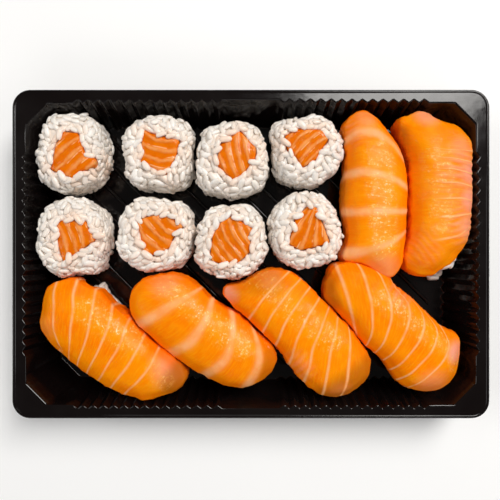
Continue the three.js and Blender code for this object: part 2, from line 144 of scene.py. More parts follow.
# Painted highlights: yellower flesh with a painted sheen and pale glint dots where the key light's
# glints fall, and a wetter coat there.
PAINTED_GLINTS = [
    (1, ((-72.0, -24.0), (-52.0, -39.0)), 9, 1.0), (2, ((-36.0, -16.0), (-24.0, -25.0)), 8, 0.9),
    (2, ((-20.0, -28.0), (-4.0, -39.0)), 9, 1.0), (3, ((10.0, -18.0), (36.0, -38.0)), 8, 0.7),
    (4, ((58.0, -19.0), (82.0, -38.0)), 8, 0.7), (5, ((56.0, 44.0), (58.0, 4.0)), 9, 1.0),
    (6, ((82.0, 44.0), (84.0, 14.0)), 9, 0.65), (4, ((88.0, -42.0), (90.0, -49.0)), 5, 0.6),
    (1, ((-44.0, -50.0), (-38.0, -56.0)), 6, 0.5), (3, ((0.0, -12.0), (8.0, -12.0)), 6, 0.4),
]
PUSHED = [
    (1, (-73.5, -15.5), 6, -1.6), (1, (-47.5, -66.0), 5, 0.8), (1, (-96.0, -36.0), 5, 0.6),
    (1, (-62.0, -20.0), 9, -1.7), (1, (-96.7, -23.8), 9, -0.8), (1, (-84.1, -12.6), 10, 0.7),
    (1, (-90.6, -41.9), 8, 0.5), (2, (-51.1, -14.5), 9, 0.9), (2, (-13.9, -20.0), 12, -2.1),
    (3, (-11.6, -16.8), 5, 0.8), (3, (2.0, -7.0), 12, 0.8), (3, (19.5, -53.0), 10, 0.9),
    (3, (46.0, -36.0), 12, 0.7), (3, (54.5, -48.5), 7, -1.1), (4, (51.0, -38.0), 12, 0.6),
    (4, (31.5, -12.0), 9, -1.8), (4, ((38.0, -3.5), (60.0, -9.0)), 8, 1.6),
    (4, (71.6, -18.2), 12, 0.4), (4, (93.0, -45.0), 9, -0.5), (4, (76.0, -61.0), 9, -0.5),
    (5, ((42.0, -3.0), (60.0, -10.0)), 7, 1.2), (5, (41.5, 33.0), 12, -0.6),
    (5, (66.0, -5.0), 6, 0.8), (6, ((86.0, 66.0), (99.0, 60.0)), 10, -2.3),
    (6, ((101.0, 43.0), (101.0, 28.0)), 10, 0.9), (6, (66.0, 60.0), 5, 1.8),
    (6, (92.0, -4.5), 13, -2.2), (6, (83.0, -10.0), 8, -0.6), (6, (82.5, -10.5), 1.8, 1.2),
]
CREASED = [
    (6, (94.0, 38.0), 17, 0.30, (0.1, 1.0), 3.3), (6, (95.0, 14.0), 14, 0.26, (-0.15, 1.0), 3.0),
    (6, (76.0, 3.0), 12, 0.07, (0.77, 0.63), 2.5), (6, (90.0, 28.0), 16, 0.10, (0.0, 1.0), 2.1),
    (2, (-38.0, -12.0), 10, 0.2, (0.4, 1.0), 2.6), (4, (67.0, -17.0), 9, 0.22, (0.7, -0.7), 3.4),
    (3, (20.0, -50.0), 10, 0.15, (0.7, -0.7), 3.0), (5, (44.0, 54.0), 9, 0.15, (-0.3, 1.0), 2.6),
]

# Places where a slice's lower edge is raised, by a distance at the edge.
RAISED = [(1, (-73.5, -13.5), 7, 9), (6, (93.0, -6.0), 12, 11)]

# Places where the rice under a slice stands out or back: as for the slices, and then held
# inside the tray's end walls.
BLOCKS_PUSHED = [(1, (-68.0, -18.0), 6, -1.5), (6, (94.5, -3.0), 14, 8.0)]

# Places where a roll's side stands out or back: roll, middle in plan, radius and distance.
ROLLS_PUSHED = [
    (1, (-93.7, 61.4), 7, -0.9), (1, (-73.8, 63.7), 8, 0.8), (1, (-94.5, 31.6), 8, 0.9),
    (1, (-95.0, 46.0), 7, 0.4), (1, (-64.7, 37.1), 7, -0.7), (2, (-28.5, 57.5), 8, 2.1),
    (2, (-25.0, 38.0), 7, 0.5), (2, (-54.7, 33.1), 9, 1.8), (2, (-48.6, 63.7), 6, -0.6),
    (3, (-23.4, 27.8), 8, 1.1), (3, (-20.8, 57.0), 6, 1.4), (3, (4.5, 55.5), 7, 0.7),
    (3, (7.2, 33.9), 8, 1.1), (3, (-10.0, 25.0), 8, 0.3), (4, (10.5, 58.0), 9, 1.8),
    (4, (39.3, 40.8), 8, 1.4), (5, (-67.0, 22.0), 7, 1.1), (5, (-95.5, 8.0), 7, 0.6),
    (5, (-93.7, -7.4), 8, -1.1), (5, (-71.5, -8.9), 7, 1.6), (6, (-57.8, 21.6), 9, -1.5),
    (6, (-30.0, 22.5), 8, 1.3), (6, (-60.2, 1.8), 9, 1.3), (6, (-48.0, -8.5), 8, 0.4),
    (7, (-15.0, 21.6), 8, 0.9), (7, (-5.0, 23.5), 7, 0.7), (7, (-24.2, 17.0), 5, -0.9),
    (7, (-22.6, -4.3), 9, 0.9), (7, (-10.0, -11.5), 9, 0.5), (7, (7.2, -1.3), 8, 1.0),
    (8, (38.6, 20.1), 8, -1.2), (8, (9.2, 17.0), 9, 1.0), (8, (14.1, -2.8), 9, 0.8),
    (8, (24.0, -7.5), 8, 0.4),
]

# The pale lines over each salmon core: arcs round a centre in plan, a spacing apart, or rays from
# it, an angle in degrees apart, and how far the lines are shifted, as a share of that step.
CORES = {
    1: dict(kind="arcs", centre=(-50.0, 10.0), step=4.5, shift=0.1),
    2: dict(kind="arcs", centre=(-37.3, 66.0), step=4.3, shift=0.3),
    3: dict(kind="arcs", centre=(20.0, 50.1), step=4.0, shift=0.4),
    4: dict(kind="arcs", centre=(41.3, 30.3), step=3.3, shift=0.2),
    5: dict(kind="arcs", centre=(-110.3, -2.1), step=3.9, shift=0.5),
    6: dict(kind="arcs", centre=(-24.2, 28.1), step=4.4, shift=0.1),
    7: dict(kind="arcs", centre=(22.4, 22.9), step=3.5, shift=0.6),
    8: dict(kind="rays", centre=(29.4, 24.5), step=15.0, shift=0.2),
}

# The camera looks straight down from CAMERA_HEIGHT, and sees VIEW_WIDTH at the rim's level.
CAMERA_HEIGHT = 230
CAMERA_PLACE = (-0.4, 1.8)
VIEW_WIDTH = 221.75
SENSOR = 36

# ---------------------------------------------------------------- meshes


def add_object(name, mesh, material):
    made = bpy.data.objects.new(name, mesh)
    bpy.context.scene.collection.objects.link(made)
    made.data.materials.clear()
    made.data.materials.append(material)
    return made


def mesh_from(name, points, faces):
    """A mesh of points in metres, shaded smooth."""
    mesh = bpy.data.meshes.new(name)
    mesh.from_pydata([tuple(p) for p in points], [], [tuple(f) for f in faces])
    mesh.shade_smooth()
    return mesh


def positions(mesh):
    flat = np.empty(len(mesh.vertices) * 3)
    mesh.vertices.foreach_get("co", flat)
    return flat.reshape(-1, 3)


def normals(mesh):
    flat = np.empty(len(mesh.vertices) * 3)
    mesh.vertex_normals.foreach_get("vector", flat)
    return flat.reshape(-1, 3)


def move_points(mesh, points):
    mesh.vertices.foreach_set("co", points.ravel())
    mesh.update()


def set_attribute(mesh, name, columns):
    """Stores one vector for each point of the mesh, given by its three parts."""
    vectors = np.stack(columns, axis=1).astype(np.float32)
    mesh.attributes.new(name, "FLOAT_VECTOR", "POINT").data.foreach_set("vector", vectors.ravel())


def as_mesh(cage):
    """A mesh of a bmesh, which is freed."""
    mesh = bpy.data.meshes.new("cage")
    cage.to_mesh(mesh)
    cage.free()
    return mesh


def welded(node):
    """A node's mesh with its split corners joined, as a bmesh."""
    cage = bmesh.new()
    cage.from_mesh(NODES[node].data)
    bmesh.ops.remove_doubles(cage, verts=cage.verts, dist=0.002 * MM)
    return cage


def holder_of(mesh, kind, **settings):
    """A passing object with the mesh and one modifier, and that modifier."""
    holder = bpy.data.objects.new("holder", mesh)
    bpy.context.scene.collection.objects.link(holder)
    modifier = holder.modifiers.new("shape", kind)
    for key, value in settings.items():
        setattr(modifier, key, value)
    return holder, modifier


def evaluated(holder):
    """The mesh that a holder's modifier makes."""
    graph = bpy.context.evaluated_depsgraph_get()
    return bpy.data.meshes.new_from_object(holder.evaluated_get(graph))


def remeshed(mesh, voxel, rounds):
    """A mesh made anew from voxels of a size in millimetres, and relaxed."""
    holder, _ = holder_of(mesh, "REMESH", mode="VOXEL", voxel_size=voxel * MM)
    made = evaluated(holder)
    bpy.data.objects.remove(holder)
    made.shade_smooth()
    return relaxed(made, rounds)


def smooth_through(cage, levels):
    """A subdivided mesh whose surface passes through the corners of a bmesh, which is freed."""
    mesh = as_mesh(cage)
    holder, modifier = holder_of(mesh, "SUBSURF")

    def subdivided(level):
        modifier.levels = level
        return evaluated(holder)

    corners = positions(mesh)
    control = corners.copy()
    for _ in range(3):
        control += 0.9 * (corners - positions(subdivided(2))[:len(corners)])
        move_points(mesh, control)
    made = subdivided(levels)
    bpy.data.objects.remove(holder)
    made.shade_smooth()
    return made


def blurred(mesh, vectors, rounds):
    """One vector for each point of the mesh, evened out with those of its neighbours."""
    edges = np.array([e.vertices[:] for e in mesh.edges])
    count = np.bincount(edges.ravel(), minlength=len(vectors))[:, None]
    for _ in range(rounds):
        total = np.zeros_like(vectors)
        np.add.at(total, edges[:, 0], vectors[edges[:, 1]])
        np.add.at(total, edges[:, 1], vectors[edges[:, 0]])
        vectors = 0.5 * vectors + 0.5 * total / count
    return vectors


def relaxed(mesh, rounds):
    """Smooths the mesh by moving each point towards the middle of its neighbours."""
    move_points(mesh, blurred(mesh, positions(mesh), rounds))
    return mesh


def noise_at(points, size, seed):
    """Smooth noise from about -1 to 1 at each point, its blobs of about a size in millimetres."""
    offset = Vector((17.3, 5.1, 9.7)) * seed
    scale = 1 / (size * MM)
    return np.array([noise.noise(Vector(p) * scale + offset) for p in points])


def smoothstep(low, high, value):
    share = np.clip((value - low) / (high - low), 0, 1)
    return share * share * (3 - 2 * share)


# ---------------------------------------------------------------- materials


class Shader:
    """A node material while it is built. Its methods add nodes and return their output."""

    def __init__(self, name):
        self.material = bpy.data.materials.new(name)
        self.material.use_nodes = True
        self.tree = self.material.node_tree
        self.tree.nodes.clear()

    def add(self, kind, inputs, output=0, **settings):
        node = self.tree.nodes.new(kind)
        for key, value in settings.items():
            setattr(node, key, value)
        for key, value in inputs.items():
            if isinstance(value, bpy.types.NodeSocket):
                self.tree.links.new(value, node.inputs[key])
            else:
                node.inputs[key].default_value = value
        return node.outputs[output] if output is not None else None

    def parts_of(self, name):
        """The three numbers of a vector attribute."""
        vector = self.add("ShaderNodeAttribute", {}, "Vector", attribute_name=name)
        return self.add("ShaderNodeSeparateXYZ", {0: vector}).node.outputs

    def place(self):
        return self.add("ShaderNodeTexCoord", {}, "Object")

    def noise(self, vector, size, detail=2.0, roughness=0.5):
        """Noise with blobs of about this size in millimetres, where the vector is in metres."""
        inputs = {"Vector": vector, "Scale": 1 / (size * MM)}
        inputs.update(Detail=detail, Roughness=roughness)
        return self.add("ShaderNodeTexNoise", inputs, "Fac")

    def fibres(self, across, along, size):
        """Noise drawn out along the flesh, whose places are in metres."""
        return self.noise(self.add("ShaderNodeCombineXYZ", {0: across, 1: along}), size, 3)

    def math(self, operation, a, b=0.0):
        return self.add("ShaderNodeMath", {0: a, 1: b}, operation=operation)

    def times(self, a, b):
        return self.math("MULTIPLY", a, b)

    def remap(self, value, low, high, to_low=0.0, to_high=1.0):
        inputs = {"Value": value, "From Min": low, "From Max": high}
        inputs.update({"To Min": to_low, "To Max": to_high})
        return self.add("ShaderNodeMapRange", inputs, interpolation_type="SMOOTHSTEP")

    def mix(self, share, a, b):
        inputs = {"Factor": share, 6: a, 7: b}
        return self.add("ShaderNodeMix", inputs, 2, data_type="RGBA")

    def bump(self, height, distance, strength=1.0, before=None):
        inputs = {"Height": height, "Distance": distance * MM, "Strength": strength}
        if before:
            inputs["Normal"] = before
        return self.add("ShaderNodeBump", inputs)

    def finish(self, **principled):
        """Adds the surface shader. Its sockets are named in words, with _ for a space."""
        inputs = {key.replace("_", " "): value for key, value in principled.items()}
        surface = self.add("ShaderNodeBsdfPrincipled", inputs)
        self.add("ShaderNodeOutputMaterial", {"Surface": surface}, None)
        return self.material


def colour(red, green, blue):
    return (red, green, blue, 1.0)


def black_plastic():
    shader = Shader("black_plastic")
    place = shader.place()
    cloud = shader.remap(shader.noise(place, 30, 3), 0.35, 0.65)
    tint = shader.mix(cloud, colour(0.0035, 0.0018, 0.0018), colour(0.0060, 0.0042, 0.0040))
    roughness = shader.remap(shader.noise(place, 9, 4), 0.3, 0.7, 0.09, 0.17)
    waves = shader.bump(shader.noise(place, 11, 3), 0.22, 0.3)
    grain = shader.bump(shader.noise(place, 1.6, 3), 0.012, 0.35, waves)
    return shader.finish(
        Base_Color=tint, Roughness=roughness, IOR=1.49, Specular_IOR_Level=0.38, Normal=grain)


def from_line(shader, phase, breadth):
    """How far a phase is from the nearest whole number, where a line lies, over a breadth."""
    half = shader.math("ADD", phase, 0.5)
    away = shader.math("ABSOLUTE", shader.math("SUBTRACT", shader.math("FRACT", half), 0.5))
    return shader.math("DIVIDE", away, breadth)


def salmon_slice():
    shader = Shader("salmon_slice")
    place = shader.place()
    phase, across, along = shader.parts_of("flesh")
    breadth, fat, thin = shader.parts_of("looks")
    # painted shade at listed places, the zones of painted highlights, and the painted shade of the
    # sides
    shade_paint, glint_paint, side = shader.parts_of("skin")
    # the fat lines, each a pale core in a wider halo
    ratio = from_line(shader, phase, breadth)
    halo = shader.remap(ratio, 0.1, 1.25, 1.0, 0.0)
    core = shader.remap(ratio, 0.1, 0.8, 1.0, 0.0)
    patchy = shader.remap(shader.noise(place, 7, 3), 0.3, 0.62, 0.5, 1.0)
    shown = shader.times(fat, patchy)
    fibres = shader.fibres(across, along, 0.75)
    mottle = shader.remap(shader.noise(place, 12, 3), 0.3, 0.7)
    fibrous = shader.remap(fibres, 0.42, 0.72, 0.0, 0.55)
    flesh = shader.mix(mottle, colour(0.96, 0.205, 0.0003), colour(1.0, 0.28, 0.0006))
    flesh = shader.mix(fibrous, flesh, colour(1.0, 0.355, 0.004))
    # painted highlight: yellower flesh where the glints are painted
    flesh = shader.mix(shader.times(glint_paint, 0.45), flesh, colour(1.0, 0.40, 0.006))
    flesh = shader.mix(thin, flesh, colour(0.90, 0.35, 0.24))
    # painted shade: the sloping sides and the foot of a slice redder and darker than its top
    flesh = shader.mix(side, flesh, colour(0.95, 0.17, 0.0006))
    # painted shade at the listed places, brownish dark
    flesh = shader.mix(shade_paint, flesh, colour(0.45, 0.12, 0.004))
    halo_share = shader.times(shown, shader.times(halo, 0.45))
    flesh = shader.mix(halo_share, flesh, colour(1.0, 0.37, 0.07))
    core_share = shader.times(shown, shader.times(core, 0.8))
    flesh = shader.mix(core_share, flesh, colour(1.0, 0.46, 0.20))
    relief = shader.bump(shader.times(shown, halo), 0.18, 0.8)
    grainy = shader.bump(fibres, 0.14, 0.9, relief)
    beads = shader.bump(shader.noise(place, 0.85, 2, 0.6), 0.28, 1.0, grainy)
    soft = shader.bump(shader.noise(place, 1.6, 2, 0.6), 0.22, 0.6, grainy)
    # painted highlights: a yellow sheen and pale glint dots in the base colour where the glints are
    # painted; the dots also raise tiny bumps
    streaks = shader.times(shader.math("SUBTRACT", fibres, 0.5), 0.5)
    speckle = shader.math("ADD", shader.noise(place, 1.0, 3, 0.65), streaks)
    patches = shader.remap(shader.noise(place, 3.5, 3, 0.6), 0.38, 0.58)
    glint_share = shader.times(patches, glint_paint)
    sheen = shader.times(shader.remap(speckle, 0.44, 0.62), glint_share)
    glint_dots = shader.times(shader.remap(speckle, 0.57, 0.69), shader.times(glint_share, glint_share))
    flesh = shader.mix(shader.times(sheen, 0.55), flesh, colour(1.0, 0.54, 0.07))
    flesh = shader.mix(shader.times(glint_dots, 0.75), flesh, colour(1.0, 0.84, 0.50))
    beads = shader.bump(glint_dots, 0.15, 1.0, beads)
    wet = shader.remap(shader.math("ADD", patches, glint_paint), 0.7, 1.9, 0.03, 0.65)
    return shader.finish(
        Base_Color=flesh, Roughness=0.5, IOR=1.36, Specular_IOR_Level=0.03,
        Subsurface_Weight=0.2, Subsurface_Scale=0.004, Subsurface_Radius=(1.0, 0.30, 0.05),
        Coat_Weight=wet, Coat_Roughness=0.08, Normal=soft, Coat_Normal=beads)


def salmon_core():
    shader = Shader("salmon_core")
    place = shader.place()
    phase, across, along = shader.parts_of("flesh")
    breadth = shader.remap(shader.noise(place, 5, 2), 0.3, 0.7, 0.16, 0.36)
    line = shader.remap(from_line(shader, phase, breadth), 0.1, 1.2, 1.0, 0.0)
    patchy = shader.remap(shader.noise(place, 4, 3), 0.3, 0.62, 0.4, 0.95)
    patches = shader.remap(shader.noise(place, 5, 2), 0.48, 0.6)
    fibrous = shader.remap(shader.fibres(across, along, 0.8), 0.45, 0.75, 0.0, 0.35)
    mottle = shader.remap(shader.noise(place, 5, 3), 0.3, 0.7)
    flesh = shader.mix(mottle, colour(0.72, 0.135, 0.0003), colour(0.80, 0.175, 0.0006))
    flesh = shader.mix(fibrous, flesh, colour(0.82, 0.25, 0.004))
    flesh = shader.mix(shader.times(line, patchy), flesh, colour(0.87, 0.34, 0.10))
    # a glint beside each line
    edge = from_line(shader, shader.math("ADD", phase, 0.27), 0.07)
    glint = shader.times(shader.remap(edge, 0.2, 1.0, 1.0, 0.0), patches)
    flesh = shader.mix(shader.times(glint, 0.5), flesh, colour(1.0, 0.72, 0.42))
    relief = shader.bump(line, 0.18, 0.9)
    beads = shader.bump(shader.noise(place, 1.0, 2, 0.6), 0.22, 0.6, relief)
    wet = shader.remap(shader.noise(place, 3.0, 3, 0.6), 0.48, 0.62, 0.0, 0.6)
    return shader.finish(
        Base_Color=flesh, Roughness=0.5, IOR=1.36, Specular_IOR_Level=0.03,
        Subsurface_Weight=0.15, Subsurface_Scale=0.003, Subsurface_Radius=(1.0, 0.30, 0.05),
        Coat_Weight=wet, Coat_Roughness=0.1, Normal=beads, Coat_Normal=beads)


def cooked_rice():
    shader = Shader("cooked_rice")
    place = shader.place()
    tone_and_shade, painted_edge_light, blush = shader.parts_of("grain")
    # a random tone, darkened as painted shade on grains that face sideways
    starch = shader.mix(tone_and_shade, colour(0.72, 0.625, 0.535), colour(0.965, 0.895, 0.82))
    # painted light: grains paler towards their sides
    starch = shader.mix(shader.times(painted_edge_light, 0.75), starch, colour(1.0, 0.965, 0.92))
    cloudy = shader.remap(shader.noise(place, 2.2, 2), 0.4, 0.7, 0.0, 0.2)
    starch = shader.mix(cloudy, starch, colour(0.86, 0.77, 0.67))
    starch = shader.mix(blush, starch, colour(1.0, 0.66, 0.47))
    skin = shader.bump(shader.noise(place, 1.2, 2), 0.12, 0.5)
    return shader.finish(
        Base_Color=starch, Roughness=0.38, IOR=1.38,
        Subsurface_Weight=0.2, Subsurface_Scale=0.0012, Subsurface_Radius=(1.0, 0.9, 0.75),
        Coat_Weight=0.3, Coat_Roughness=0.15, Normal=skin, Coat_Normal=skin)


def pale_floor():
    shader = Shader("studio_floor")
    cloud = shader.noise(shader.place(), 60, 3)
    tint = shader.mix(cloud, colour(0.95, 0.95, 0.95), colour(0.97, 0.97, 0.97))
    return shader.finish(Base_Color=tint, Roughness=0.75)


# ---------------------------------------------------------------- tray


def lean(z):
    """How far the wall has leaned in from the rim's edge, at a height."""
    return DRAFT * (RIM_TOP - z) / (RIM_TOP - SHEET)


def inside_walls(points):
    """Keeps points in metres inside the tray's walls, flattened against them with a soft bend."""
    inset = RIM_WIDTH + lean(np.minimum(points[:, 2] / MM, RIM_TOP)) + WALL_GAP
    for axis, half in enumerate((HALF_LENGTH, HALF_WIDTH)):
        room = half - inset
        place = np.abs(points[:, axis]) / MM
        kept = room - WALL_BEND * np.logaddexp(0, (room - place) / WALL_BEND)
        points[:, axis] = np.sign(points[:, axis]) * kept * MM
    return points


def flute_run(start, pitch, count):
    """Soft zigzag from a trough, as (place along the wall, depth)."""
    steps = np.arange(round(count * FLUTE_STEPS) + 1) / FLUTE_STEPS
    sharp = 0.96
    depth = 0.5 - np.arcsin(sharp * np.cos(2 * math.pi * steps)) / (2 * math.asin(sharp))
    return [(start + pitch * s, FLUTE_DEPTH * d) for s, d in zip(steps, depth)]


HALF_LONG_WALL = flute_run(-PANEL_HALF - LONG_PITCH * LONG_COUNT, LONG_PITCH, LONG_COUNT)
LONG_WALL = HALF_LONG_WALL + [(-t, n) for t, n in reversed(HALF_LONG_WALL)]
SHORT_WALL = flute_run(-SHORT_PITCH * SHORT_COUNT / 2, SHORT_PITCH, SHORT_COUNT)


def spread(start, end, steps):
    """Evenly spaced points of a straight line, without its end."""
    return [tuple(a + (b - a) * i / steps for a, b in zip(start, end)) for i in range(steps)]


def fluted_outline(inset, depth=1.0):
    """The octagon of the walls, leaned in by an inset, its flutes at a share of their depth."""
    a, b = INNER_X - inset, INNER_Y - inset
    end_x, end_y = a - CHAMFER, b - CHAMFER
    bottom = [(t, -b - n * depth) for t, n in LONG_WALL]
    right = [(a + n * depth, t) for t, n in SHORT_WALL]
    half = spread((-end_x, -b), bottom[0], 3) + bottom + spread(bottom[-1], (end_x, -b), 3)[1:]
    half += spread((end_x, -b), (a, -end_y), 14) + spread((a, -end_y), right[0], 3)
    half += right + spread(right[-1], (a, end_y), 3)[1:] + spread((a, end_y), (end_x, b), 14)
    return half + [(-x, -y) for x, y in half]


def on_rounded_rectangle(place, inset):
    """Where the ray from the middle through a place meets the rim's outline."""
    a, b = HALF_LENGTH - inset, HALF_WIDTH - inset
    radius = CORNER_RADIUS - inset
    x, y = abs(place[0]), abs(place[1])
    reach = min(a / x if x else 1e9, b / y if y else 1e9)
    if x * reach > a - radius and y * reach > b - radius:
        cx, cy = a - radius, b - radius
        length = math.hypot(x, y)
        dx, dy = x / length, y / length
        middle = cx * dx + cy * dy
        reach = (middle + math.sqrt(max(middle ** 2 - cx ** 2 - cy ** 2 + radius ** 2, 0))) / length
    return (place[0] * reach, place[1] * reach)


def arc(centre, radius, start, end, steps):
    """Points of an arc as (across, up), with its angles in degrees."""
    angles = [math.radians(start + (end - start) * i / steps) for i in range(steps + 1)]
    return [(centre[0] + radius * math.cos(t), centre[1] + radius * math.sin(t)) for t in angles]


def tray_rings():
    """Rings of the tray's sheet, from the floor over the rim to the underside."""
    plain = fluted_outline(0)
    rings = []

    def walls(profile, depth=1.0):
        rings.extend([(x, y, z) for x, y in fluted_outline(inset, depth)] for inset, z in profile)

    def rim(profile):
        for inset, z in profile:
            rings.append([(*on_rounded_rectangle(p, inset), z) for p in plain])

    foot = DRAFT + FLOOR_BEND * 0.7
    walls([(foot + 2.5, SHEET)], 0.0)
    walls([(foot, SHEET), (foot - 0.35, SHEET + 0.03), (foot - 0.8, SHEET + 0.25)])
    walls([(lean(SHEET + 1.1), SHEET + 1.1)])
    walls([(lean(z), z) for z in np.linspace(SHEET + 2.2, RIM_TOP - 1.0, 5)])
    walls(arc((-RIM_BEND, RIM_TOP - RIM_BEND), RIM_BEND, 0, 90, 4))
    walls([(-RIM_BEND - 0.25, RIM_TOP)])
    walls([(-RIM_WIDTH * 0.42, RIM_TOP)], 0.0)
    rim([(1.75, RIM_TOP), (1.5, RIM_TOP), (1.3, RIM_TOP - 0.12), (1.1, RIM_TOP)])
    rim(arc((LIP_RADIUS, RIM_TOP - LIP_RADIUS), LIP_RADIUS, 90, 180, 4))
    lip, under = RIM_TOP - LIP_DROP, RIM_TOP - SHEET
    rim([(0, lip + 0.1), (0.1, lip), (SHEET - 0.1, lip)])
    rim([(SHEET, lip + 0.1), (SHEET, under - 0.1), (SHEET + 0.1, under)])
    walls([(-WALL - 1.0, under)], 0.0)
    walls([(-WALL - 0.2, under), (lean(under - 0.3) - WALL, under - 0.3)])
    walls([(lean(z) - WALL, z) for z in np.linspace(under - 2, 1.2, 5)])
    walls([(lean(0.5) - WALL + 0.1, 0.4), (DRAFT - WALL + 0.7, 0.06), (DRAFT - WALL + 1.1, 0)])
    walls([(DRAFT + 3, 0)], 0.0)
    return rings


def floor_ribs():
    """The diagonal ribs of the floor, as closed strips with a rounded top."""
    field_x = INNER_X - DRAFT - RIB_BORDER
    field_y = INNER_Y - DRAFT - RIB_BORDER
    root = math.sqrt(0.5)
    rise = [(0.5, RIB_ROOT), (0.42, 0.1), (0.27, 0.75), (0.1, 0.98)]
    section = [(-share, lift) for share, lift in rise] + rise[::-1]
    count = len(section)
    points, faces = [], []
    steps = int(((field_x + field_y) * root - RIB_WIDTH) / RIB_SPACING)
    for i in range(-steps, steps + 1):
        rows = []
        for share, lift in section:
            offset = i * RIB_SPACING + share * RIB_WIDTH
            # the line offset from the middle crosses the field between these two places along it
            low = max(-field_x / root + offset, -field_y / root - offset)
            high = min(field_x / root + offset, field_y / root - offset)
            taper = 0.8 * max(lift, 0)
            z = SHEET + max(lift * RIB_HEIGHT, RIB_ROOT)
            rows.append([(root * (offset - s), root * (offset + s), z)
                         for s in (low + taper, high - taper)])
        near = len(points)
        far = near + count
        points += [row[0] for row in rows] + [row[1] for row in rows]
        for k in range(count):
            after = (k + 1) % count
            faces.append((near + k, near + after, far + after, far + k))
        faces += [tuple(reversed(range(near, far))), tuple(range(far, far + count))]
    return points, faces


def make_tray(material):
    rings = tray_rings()
    count = len(rings[0])
    points = [p for ring in rings for p in ring]
    last = (len(rings) - 1) * count
    faces = []
    for first in range(0, last, count):
        for i in range(count):
            j = (i + 1) % count
            faces.append((first + j, first + i, first + count + i, first + count + j))
    faces.append(tuple(range(count)))
    faces.append(tuple(last + i for i in reversed(range(count))))
    rib_points, rib_faces = floor_ribs()
    faces += [tuple(len(points) + k for k in face) for face in rib_faces]
    mesh = mesh_from("tray_sheet", np.array(points + rib_points) * MM, faces)
    mesh.set_sharp_from_angle(angle=math.radians(50))
    return add_object("tray_sheet", mesh, material)


# ---------------------------------------------------------------- salmon slices


def quadratic(share):
    """Weights of three evenly spaced values and their slopes, going on straight past both ends."""
    inside = np.clip(share, 0, 1)
    past = share - inside
    weight = np.stack([
        2 * (inside - 0.5) * (inside - 1), 4 * inside * (1 - inside), 2 * inside * (inside - 0.5)])
    slope = np.stack([4 * inside - 3, 4 - 8 * inside, 4 * inside - 1])
    return weight + past * slope, slope


def line_places(plan, lines):
    """Shares for each place in plan: from the first line to the last, and along the lines."""
    grid = np.array(lines) * MM
    s = np.full(len(plan), 0.5)
    t = np.full(len(plan), 0.5)
    for _ in range(25):
        (ws, ds), (wt, dt) = quadratic(s), quadratic(t)
        here = np.einsum("in,jn,ijk->nk", ws, wt, grid)
        by_s = np.einsum("in,jn,ijk->nk", ds, wt, grid)
        by_t = np.einsum("in,jn,ijk->nk", ws, dt, grid)
        miss = plan - here
        determinant = by_s[:, 0] * by_t[:, 1] - by_s[:, 1] * by_t[:, 0]
        determinant = np.where(np.abs(determinant) < 1e-7, 1e-7, determinant)
        s += np.clip((miss[:, 0] * by_t[:, 1] - miss[:, 1] * by_t[:, 0]) / determinant, -0.2, 0.2)
        t += np.clip((by_s[:, 0] * miss[:, 1] - by_s[:, 1] * miss[:, 0]) / determinant, -0.2, 0.2)
        s, t = np.clip(s, -0.35, 1.35), np.clip(t, -0.8, 1.8)
    return s, t


def places_of(table, number, plan):
    """The rows of a table of places for one piece, each place turned into a share from 0 to 1."""
    for of, middle, radius, *facts in table:
        if of == number:
            start, end = np.array(middle if np.ndim(middle) == 2 else (middle, middle), float)
            run, there = end - start, plan / MM - start
            along = np.clip(there @ run / max(run @ run, 1e-9), 0, 1)
            away = np.linalg.norm(there - along[:, None] * run, axis=1)
            yield (smoothstep(radius, radius * 0.25, away), *facts)


def strongest(table, number, plan, strengths):
    """The greater of these strengths and those that a table gives, for each place in plan."""
    for share, strength in places_of(table, number, plan):
        strengths = np.maximum(strengths, strength * share)
    return strengths


def slice_form(node):
    """A fine mesh of a slice, smoothed through the corners of its solid."""
    cage = welded(node)
    flat = math.radians(70)
    bmesh.ops.join_triangles(
        cage, faces=cage.faces, angle_face_threshold=flat, angle_shape_threshold=flat)
    return remeshed(smooth_through(cage, 3), SLICE_VOXEL, 2)


